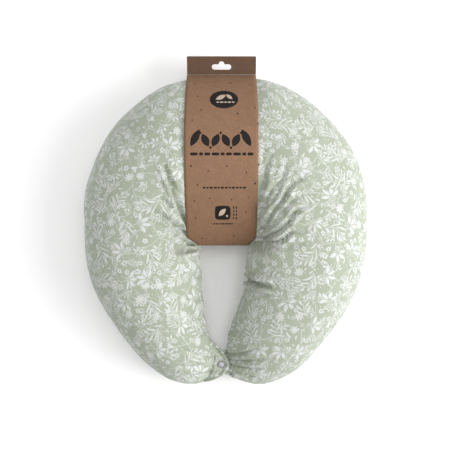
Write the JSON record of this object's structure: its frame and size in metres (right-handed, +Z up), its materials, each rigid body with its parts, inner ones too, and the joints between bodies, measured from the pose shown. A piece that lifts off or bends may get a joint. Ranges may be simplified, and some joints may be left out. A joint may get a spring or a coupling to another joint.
{
  "type": "nursing pillow",
  "caption": "C-shaped stuffed nursing pillow in a zipped printed cover, its arm tips closed by a press stud, with a hanging card sleeve round the back.",
  "frame": {"origin": "on the surface that the pillow lies on, under the middle of the whole object's plan", "axes": "+X to the pillow's right, +Y from the arm tips to the hanging header, +Z up"},
  "size_m": [0.494, 0.5768, 0.1511],
  "materials": {
    "cover": "matt printed cotton poplin",
    "liner": "plain white polycotton",
    "filling": "loose polyester fibre",
    "card": "uncoated kraft card",
    "zip_tape": "woven polyester tape",
    "zip_coil": "nylon coil",
    "zip_metal": "plated die casting",
    "nickel": "satin nickel plate",
    "label": "white satin ribbon"
  },
  "bodies": {
    "back": {"cover_top_panel": "cover", "cover_bottom_panel": "cover", "liner_top_panel": "liner", "liner_bottom_panel": "liner", "filling_back": "filling", "filling_left_bend": "filling", "filling_right_bend": "filling", "sleeve_front_panel": "card", "sleeve_back_panel": "card", "zip_tape_upper": "zip_tape", "zip_tape_lower": "zip_tape", "zip_coil_upper": "zip_coil", "zip_coil_lower": "zip_coil", "zip_bottom_stop": "zip_metal", "zip_top_stop": "zip_metal", "care_label": "label"},
    "left_arm": {"filling_left_arm": "filling"},
    "right_arm": {"filling_right_arm": "filling", "right_tab": "cover", "snap_stud": "nickel", "snap_post": "nickel"},
    "snap_tab": {"left_tab": "cover", "snap_cap": "nickel", "snap_socket": "nickel"},
    "header": {"hang_header": "card"},
    "slider": {"zip_slider": "zip_metal"},
    "pull": {"zip_pull": "zip_metal"}
  },
  "joints": [
    {"name": "left_arm_spread", "type": "hinge", "parent": "back", "child": "left_arm", "pos_m": [-0.145, -0.045, 0.07], "axis": [0, 0, -1], "range_deg": [0, 30], "deforming": ["cover_top_panel", "cover_bottom_panel", "liner_top_panel", "liner_bottom_panel", "filling_left_bend"]},
    {"name": "right_arm_spread", "type": "hinge", "parent": "back", "child": "right_arm", "pos_m": [0.145, -0.045, 0.07], "axis": [0, 0, 1], "range_deg": [0, 30], "deforming": ["cover_top_panel", "cover_bottom_panel", "liner_top_panel", "liner_bottom_panel", "filling_right_bend"]},
    {"name": "snap_tab_peel", "type": "hinge", "parent": "left_arm", "child": "snap_tab", "pos_m": [-0.02009, -0.24876, 0.0546], "axis": [-0.1822, -0.9833, 0], "range_deg": [0, 60]},
    {"name": "header_tilt", "type": "hinge", "parent": "back", "child": "header", "pos_m": [-0.007, 0.2592, 0.071], "axis": [1, 0, 0], "range_deg": [-50, 60], "stiffness_Nm_per_rad": 0.03},
    {"name": "zip_slide", "type": "hinge", "parent": "back", "child": "slider", "pos_m": [0.004, 0.016, 0.05], "axis": [0, 0, 1], "range_deg": [0, 59]},
    {"name": "zip_pull_swing", "type": "hinge", "parent": "slider", "child": "pull", "pos_m": [0.24277, 0.05598, 0.04872], "axis": [0.9459, 0.1617, -0.2814], "range_deg": [-50, 50]}
  ]
}
